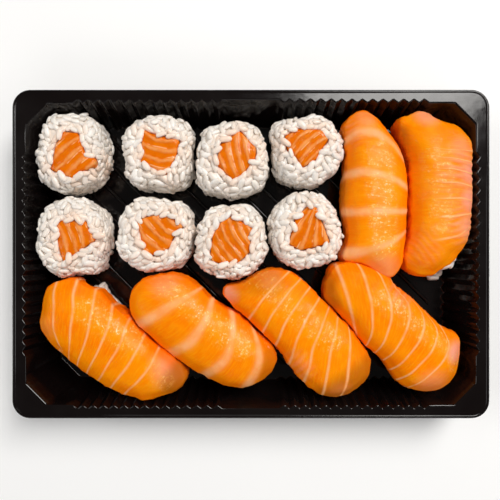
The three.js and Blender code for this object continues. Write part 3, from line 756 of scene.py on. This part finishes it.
def make_slice(number, material):
    facts = SLICES[number]
    lines, gaps = facts["lines"], facts["count"] - 1
    mesh = slice_form(f"nigiri_{number}_salmon")
    points, outward = positions(mesh), normals(mesh)
    low, high = points[:, 2].min(), points[:, 2].max()
    plan = points[:, :2]
    share_up = (points[:, 2] - low) / (high - low)

    # where the fat lines lie and show
    s, t = line_places(plan, lines)
    spacing = np.linalg.norm(np.subtract(lines[2][1], lines[0][1])) / gaps
    phase = s * gaps + 0.55 * noise_at(points, 9, number + 60) / spacing
    reach = np.linalg.norm(np.subtract(lines[1][2], lines[1][0]))
    within = (phase > -0.5) & (phase < gaps + 0.5)
    shows = smoothstep(facts["shows_from"], facts["shows_from"] + 0.3, t)

    # what colours the flesh: pale thin places, painted shade on the sides and at listed places, and
    # the zones of painted highlights
    side = smoothstep(0.45, 0.0, share_up)
    slope = smoothstep(0.98, 0.4, outward[:, 2])
    none = np.zeros(len(points))
    thin = strongest(THIN, number, plan, 0.5 * smoothstep(0.2, 0.0, share_up))
    shade_paint = strongest(PAINTED_SHADE, number, plan, none)
    glint_paint = strongest(PAINTED_GLINTS, number, plan, none)

    # waves and creases along the normals
    edge = smoothstep(0.55, 0.1, outward[:, 2])
    lift = 0.1 + 0.35 * noise_at(points, 11, number) + 0.12 * noise_at(points, 4, number + 9)
    lift += side * 0.7 * noise_at(points * (1, 1, 0.3), 6, number + 20)
    lift += side * 0.3 * noise_at(points, 1.8, number + 30)
    ragged = 0.6 * noise_at(points, 3.6, number + 31) + 0.35 * noise_at(points, 1.7, number + 32)
    lift += edge * ragged
    for share, height, across, wave in places_of(CREASED, number, plan):
        bent = plan @ across / (wave * MM) + 0.5 * noise_at(points, 8, number + 80)
        ridge = share * np.cos(2 * math.pi * bent) * (0.7 + 0.6 * noise_at(points, 5, number + 81))
        lift += height * ridge
        thin = np.maximum(thin, min(1.2 * height, 0.3) * (ridge + share))
    moved = points + outward * (lift * MM)[:, None]

    # pushes away from the block of rice, and the raised edges
    block = tree_of([NODES[f"nigiri_{number}_rice"].data])
    from_block = points - np.array([block.find_nearest(Vector(p))[0] for p in points])
    from_block /= np.maximum(np.linalg.norm(from_block, axis=1), 1e-6)[:, None]
    pushed = np.zeros(len(points))
    for share, distance in places_of(PUSHED, number, plan):
        pushed += distance * share
    moved += blurred(mesh, from_block * (pushed * MM)[:, None], 8)
    for share, distance in places_of(RAISED, number, plan):
        moved[:, 2] += share * distance * MM * (1 - share_up) ** 1.5
    move_points(mesh, inside_walls(moved))

    set_attribute(mesh, "flesh", [phase, phase * spacing * MM, t * reach * FIBRE_STRETCH * MM])
    breadth = np.full(len(points), facts["breadth"])
    set_attribute(mesh, "looks", [breadth, within * shows, np.clip(thin, 0, 1)])
    # painted shade at listed places, the zones of painted highlights, and the painted shade of the
    # sides
    set_attribute(mesh, "skin", [shade_paint, glint_paint, facts["red"] * np.maximum(slope, side)])
    return add_object(f"salmon_slice_{number}", mesh, material)


# ---------------------------------------------------------------- salmon cores


def make_core(number, material):
    facts = CORES[number]
    mesh = remeshed(as_mesh(welded(f"roll_{number}_salmon")), CORE_VOXEL, 2)
    points, outward = positions(mesh), normals(mesh)
    away = points[:, :2] / MM - facts["centre"]
    radius = np.linalg.norm(away, axis=1)
    angle = np.degrees(np.arctan2(away[:, 1], away[:, 0]))
    angle = np.where(angle < 0, angle + 360, angle)
    round_it = np.radians(angle) * radius.mean()
    if facts["kind"] == "arcs":
        across, along, stepped, wobble = radius, round_it, radius, facts["step"]
    else:
        across, along, stepped, wobble = round_it, radius, angle, 5
    phase = stepped / facts["step"] + facts["shift"]
    phase += 0.9 * noise_at(points, 7, number + 70) / wobble
    top = smoothstep(0.9, 1.0, outward[:, 2])
    ridges = 0.13 * np.cos(2 * math.pi * phase) * top
    uneven = 0.25 * noise_at(points, 5, number + 40) * (0.4 + 0.6 * top)
    # the sides nearly fill the slot in the rice
    swollen = 0.22 * smoothstep(0.8, 0.4, np.abs(outward[:, 2]))
    move_points(mesh, points + outward * ((ridges + uneven + swollen) * MM)[:, None])
    set_attribute(mesh, "flesh", [phase, across * MM, along * FIBRE_STRETCH * MM])
    return add_object(f"salmon_core_{number}", mesh, material)


# ---------------------------------------------------------------- rice


def grain_shapes(random):
    """Grains of rice that lie along X round their middle: plump, a little bent and uneven."""
    rounds, stations = 9, 5
    shapes = []
    for _ in range(GRAIN_SHAPES):
        bend, blunt = random.uniform(-0.25, 0.25), random.uniform(0.55, 0.75)
        flat = random.uniform(0.8, 1.0)
        points = [(-GRAIN_LENGTH / 2, 0, 0)]
        for k in range(1, stations + 1):
            turn = math.pi * k / (stations + 1)
            x = -math.cos(turn) * GRAIN_LENGTH / 2
            girth = math.sin(turn) ** blunt * (1 + 0.08 * random.uniform(-1, 1))
            bent = bend * (1 - (2 * x / GRAIN_LENGTH) ** 2)
            for i in range(rounds):
                angle = 2 * math.pi * i / rounds
                y = math.cos(angle) * girth * GRAIN_WIDTH / 2 + bent
                z = math.sin(angle) * girth * GRAIN_THICKNESS / 2 * flat
                points.append((x, y, z))
        points.append((GRAIN_LENGTH / 2, 0, 0))
        shapes.append(np.array(points))
    faces = []
    for i in range(rounds):
        j = (i + 1) % rounds
        faces.append((0, 1 + j, 1 + i))
        for k in range(stations - 1):
            a = 1 + k * rounds
            faces.append((a + i, a + j, a + rounds + j, a + rounds + i))
        last = 1 + (stations - 1) * rounds
        faces.append((last + i, last + j, len(shapes[0]) - 1))
    return shapes, np.array([f if len(f) == 4 else (*f, -1) for f in faces])


def surface_samples(mesh, random):
    """Random points all over a mesh, each with its normal."""
    mesh.calc_loop_triangles()
    corners = np.array([t.vertices[:] for t in mesh.loop_triangles])
    points, outward = positions(mesh), normals(mesh)
    a, b, c = (points[corners[:, k]] for k in range(3))
    area = np.linalg.norm(np.cross(b - a, c - a), axis=1)
    picked = random.choice(len(area), GRAIN_TRIALS, p=area / area.sum())
    u, v = random.random(GRAIN_TRIALS), random.random(GRAIN_TRIALS)
    over = u + v > 1
    u, v = np.where(over, 1 - u, u), np.where(over, 1 - v, v)
    w = 1 - u - v
    place = a[picked] * w[:, None] + b[picked] * u[:, None] + c[picked] * v[:, None]
    normal = outward[corners[picked, 0]] * w[:, None] + outward[corners[picked, 1]] * u[:, None]
    normal += outward[corners[picked, 2]] * v[:, None]
    return place, normal / np.linalg.norm(normal, axis=1)[:, None]


def tree_of(meshes):
    """One search tree over several meshes."""
    points, faces = [], []
    for mesh in meshes:
        first = len(points)
        points += [v.co.copy() for v in mesh.vertices]
        faces += [tuple(first + i for i in face.vertices) for face in mesh.polygons]
    return BVHTree.FromPolygons(points, faces)


class Heap:
    """Grains laid so far: no two middles closer than their spacing, and none in the neighbours."""

    def __init__(self, neighbours):
        self.cell = GRAIN_SPACING * MM
        self.neighbours = tree_of(neighbours)
        self.taken = {}
        self.grains = []

    def lay(self, middle, axis, normal, room=1.0):
        """Adds one grain where there is room for it."""
        key = tuple(np.floor(middle / self.cell).astype(int))
        around = [self.taken.get((key[0] + i, key[1] + j, key[2] + k), ())
                  for i in (-1, 0, 1) for j in (-1, 0, 1) for k in (-1, 0, 1)]
        least = (self.cell * room) ** 2
        apart = (middle - other for group in around for other in group)
        if any(np.dot(gap, gap) < least for gap in apart):
            return
        for share in (-GRAIN_TIPS, 0, GRAIN_TIPS):
            tip = Vector(middle + axis * share * GRAIN_LENGTH * MM)
            if self.neighbours.find_nearest(tip, GRAIN_REACH * GRAIN_WIDTH * MM)[0] is not None:
                return
        self.taken.setdefault(key, []).append(middle)
        self.grains.append((middle, axis / np.linalg.norm(axis), normal))


def push(surface, table, number, top):
    """Moves the sides of a surface out or back at its places in a table, up to a height."""
    points, outward = positions(surface), normals(surface) * (1, 1, 0)
    below = smoothstep(top + 3, top - 3, points[:, 2] / MM)
    for share, distance in places_of(table, number, points[:, :2]):
        points += outward * (share * below * distance * MM)[:, None]
    move_points(surface, points)


def cover(heap, surface, keep, random):
    """Lays grains all over a surface, pressed into it, each turned its own way."""
    for place, normal in zip(*surface_samples(surface, random)):
        if not keep(place, normal):
            continue
        any_way = random.normal(size=3)
        axis = any_way - normal * np.dot(any_way, normal)
        axis = axis / np.linalg.norm(axis) + normal * random.uniform(-0.25, 0.25)
        heap.lay(place - normal * random.uniform(0.4, 1.05) * MM, axis, normal)


def edge_round(heap, surface, filling, top, random):
    """Lays the grains that hug the upper edge of a filling, some of them lying over it."""
    for place, normal in zip(*surface_samples(surface, random)):
        if place[2] < top - 2 * MM:
            continue
        nearest = filling.find_nearest(Vector(place), 2.2 * MM)[0]
        if nearest is None:
            continue
        out = (place - np.array(nearest)) * (1, 1, 0)
        if np.linalg.norm(out) < 0.1 * MM:
            continue
        out /= np.linalg.norm(out)
        turn = random.uniform(-0.9, 0.9)
        over = random.random() < OVER_SHARE
        away = random.uniform(0.2, 0.8) if over else 1.1 + 1.3 * abs(math.sin(turn))
        height = random.uniform(0.3, 0.6) if over else random.uniform(-1.25, -0.5)
        middle = np.array([nearest[0], nearest[1], top + height * MM]) + out * away * MM
        along = np.array([-out[1], out[0], 0])
        axis = along * math.cos(turn) + out * math.sin(turn)
        if not over:
            axis = axis + np.array([0, 0, random.uniform(-0.3, 0.3)])
        heap.lay(middle, axis, np.array([0.0, 0.0, 1.0]), room=0.92)


def make_rice(name, heap, surface, inner, warm, material, random):
    """One mesh of a core of rice, given by its points and its surface, and the grains over it."""
    shapes, grain_faces = grain_shapes(random)
    points, faces = [inner], [tuple(face.vertices) for face in surface.polygons]
    looks = [np.tile(UNDER_GRAINS, (len(inner), 1))]
    first = len(inner)
    for middle, axis, normal in heap.grains:
        side = np.cross(normal, axis)
        side /= np.linalg.norm(side)
        up = np.cross(axis, side)
        size = random.uniform(0.8, 1.16)
        shape = shapes[random.integers(len(shapes))] * (size, size * random.uniform(0.9, 1.1), size)
        points.append(middle + (shape @ np.stack([axis, side, up])) * MM)
        faces += [tuple(first + i for i in face if i >= 0) for face in grain_faces]
        blush = 0.0
        if warm:
            away = warm.find_nearest(Vector(middle))[3] / MM
            blush = 0.65 * max(0, 1 - max(away - 1.2, 0) / 5) * random.uniform(0.1, 1)
        # painted light: each grain paler towards its sides, which lifts the shade between grains
        painted_edge_light = np.abs(shape[:, 1]) / (GRAIN_WIDTH / 2)
        # a random tone, with painted shade: grains facing sideways or down are darker
        tone_and_shade = random.uniform(0.25, 1) * (0.5 + 0.5 * max(normal[2], 0))
        looks.append([(tone_and_shade, white, blush) for white in painted_edge_light])
        first += len(shape)
    mesh = mesh_from(name, inside_walls(np.concatenate(points)), faces)
    set_attribute(mesh, "grain", np.concatenate(looks).T)
    return add_object(name, mesh, material)


def neighbours_of(*own):
    """The meshes of all nodes but these."""
    return [NODES[n].data for n in NODES if n not in own]


def make_roll_rice(number, material):
    node, filling = f"roll_{number}_rice", f"roll_{number}_salmon"
    random = np.random.default_rng(number)
    surface = remeshed(as_mesh(welded(node)), ROLL_VOXEL, 4)
    push(surface, ROLLS_PUSHED, number, ROLLS_TOP)
    core = tree_of([NODES[filling].data])
    heap = Heap(neighbours_of(node, filling))
    edge_round(heap, surface, core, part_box(filling)[1].z, random)

    def keep(place, normal):
        # the slot's own walls face the filling, and hold no grains
        nearest, _, _, distance = core.find_nearest(Vector(place))
        facing = np.dot(np.array(nearest) - place, normal) / distance
        return facing < -0.5 or distance > 3 * MM or (distance > 1.6 * MM and facing < 0)

    cover(heap, surface, keep, random)
    points, outward = positions(surface), normals(surface)
    to_core = np.array([core.find_nearest(Vector(p))[0] for p in points]) - points
    away = np.linalg.norm(to_core, axis=1)
    facing = np.einsum("ij,ij->i", to_core, outward) / away
    # the rice under the grains is thinner, but not round the slot
    free = np.maximum(smoothstep(0.8, 3.0, away / MM), smoothstep(-0.4, -0.8, facing))
    inner = points - outward * ((0.05 + 1.0 * free) * MM)[:, None]
    return make_rice(f"rice_ring_{number}", heap, surface, inner, core, material, random)


def make_nigiri_rice(number, slice_mesh, material):
    node, covering = f"nigiri_{number}_rice", f"nigiri_{number}_salmon"
    random = np.random.default_rng(number + 50)
    surface = remeshed(as_mesh(welded(node)), BLOCK_VOXEL, 4)
    push(surface, BLOCKS_PUSHED, number, BLOCKS_TOP)
    points = positions(surface)
    reach = (INNER_X - lean(points[:, 2] / MM) - BLOCK_GAP) * MM
    points[:, 0] = np.clip(points[:, 0], -reach, reach)
    move_points(surface, points)
    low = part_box(node)[0].z
    heap = Heap(neighbours_of(node, covering) + [slice_mesh])

    def keep(place, normal):
        return place[2] < low + BLOCK_GRAINS * MM and normal[2] > -0.5

    cover(heap, surface, keep, random)
    inner = positions(surface) - normals(surface) * 1.1 * MM
    return make_rice(f"rice_block_{number}", heap, surface, inner, None, material, random)


# ---------------------------------------------------------------- stage, light and camera


def make_floor():
    size = 4000 * MM
    corners = [(-size, -size, 0), (size, -size, 0), (size, size, 0), (-size, size, 0)]
    mesh = mesh_from("studio_floor", corners, [(0, 1, 2, 3)])
    return add_object("studio_floor", mesh, pale_floor())


def add_light(name, place, size, power, tint=(1, 1, 1)):
    """A rectangular softbox at a place in metres, facing the tray's middle."""
    light = bpy.data.lights.new(name, "AREA")
    light.shape = "RECTANGLE"
    light.size, light.size_y = size
    light.energy = power
    light.color = tint
    made = bpy.data.objects.new(name, light)
    made.location = place
    made.rotation_euler = (-Vector(place)).to_track_quat("-Z", "Y").to_euler()
    bpy.context.scene.collection.objects.link(made)


def make_world():
    world = bpy.data.worlds.new("studio")
    world.use_nodes = True
    world.node_tree.nodes["Background"].inputs["Color"].default_value = (1.0, 0.98, 0.95, 1.0)
    world.node_tree.nodes["Background"].inputs["Strength"].default_value = 0.10
    bpy.context.scene.world = world


def make_camera():
    camera = bpy.data.cameras.new("camera")
    camera.sensor_width = SENSOR
    camera.lens = SENSOR * (CAMERA_HEIGHT - RIM_TOP) / VIEW_WIDTH
    camera.clip_start = 0.01
    made = bpy.data.objects.new("camera", camera)
    made.location = (CAMERA_PLACE[0] * MM, CAMERA_PLACE[1] * MM, CAMERA_HEIGHT * MM)
    bpy.context.scene.collection.objects.link(made)
    bpy.context.scene.camera = made


# ---------------------------------------------------------------- the whole

bpy.context.scene.view_settings.view_transform = "Standard"
make_camera()
make_world()
add_light("key", (0.485, 0.585, 1.0), (0.44, 0.75), 13.5, (1.0, 0.98, 0.95))
add_light("fill_left", (-1.25, 0.1, 0.9), (1.0, 0.8), 7.5)
add_light("fill_front", (0.1, -1.25, 0.9), (1.2, 0.8), 4)
add_light("fill_right", (1.35, -0.2, 0.8), (0.9, 0.8), 3.5)
make_floor()


def dress(piece, node):
    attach(piece, "root")
    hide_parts(node)


dress(make_tray(black_plastic()), "tray")
rice_finish, slice_finish, core_finish = cooked_rice(), salmon_slice(), salmon_core()
for number in SLICES:
    piece = make_slice(number, slice_finish)
    dress(piece, f"nigiri_{number}_salmon")
    dress(make_nigiri_rice(number, piece.data, rice_finish), f"nigiri_{number}_rice")
for number in CORES:
    dress(make_core(number, core_finish), f"roll_{number}_salmon")
    dress(make_roll_rice(number, rice_finish), f"roll_{number}_rice")
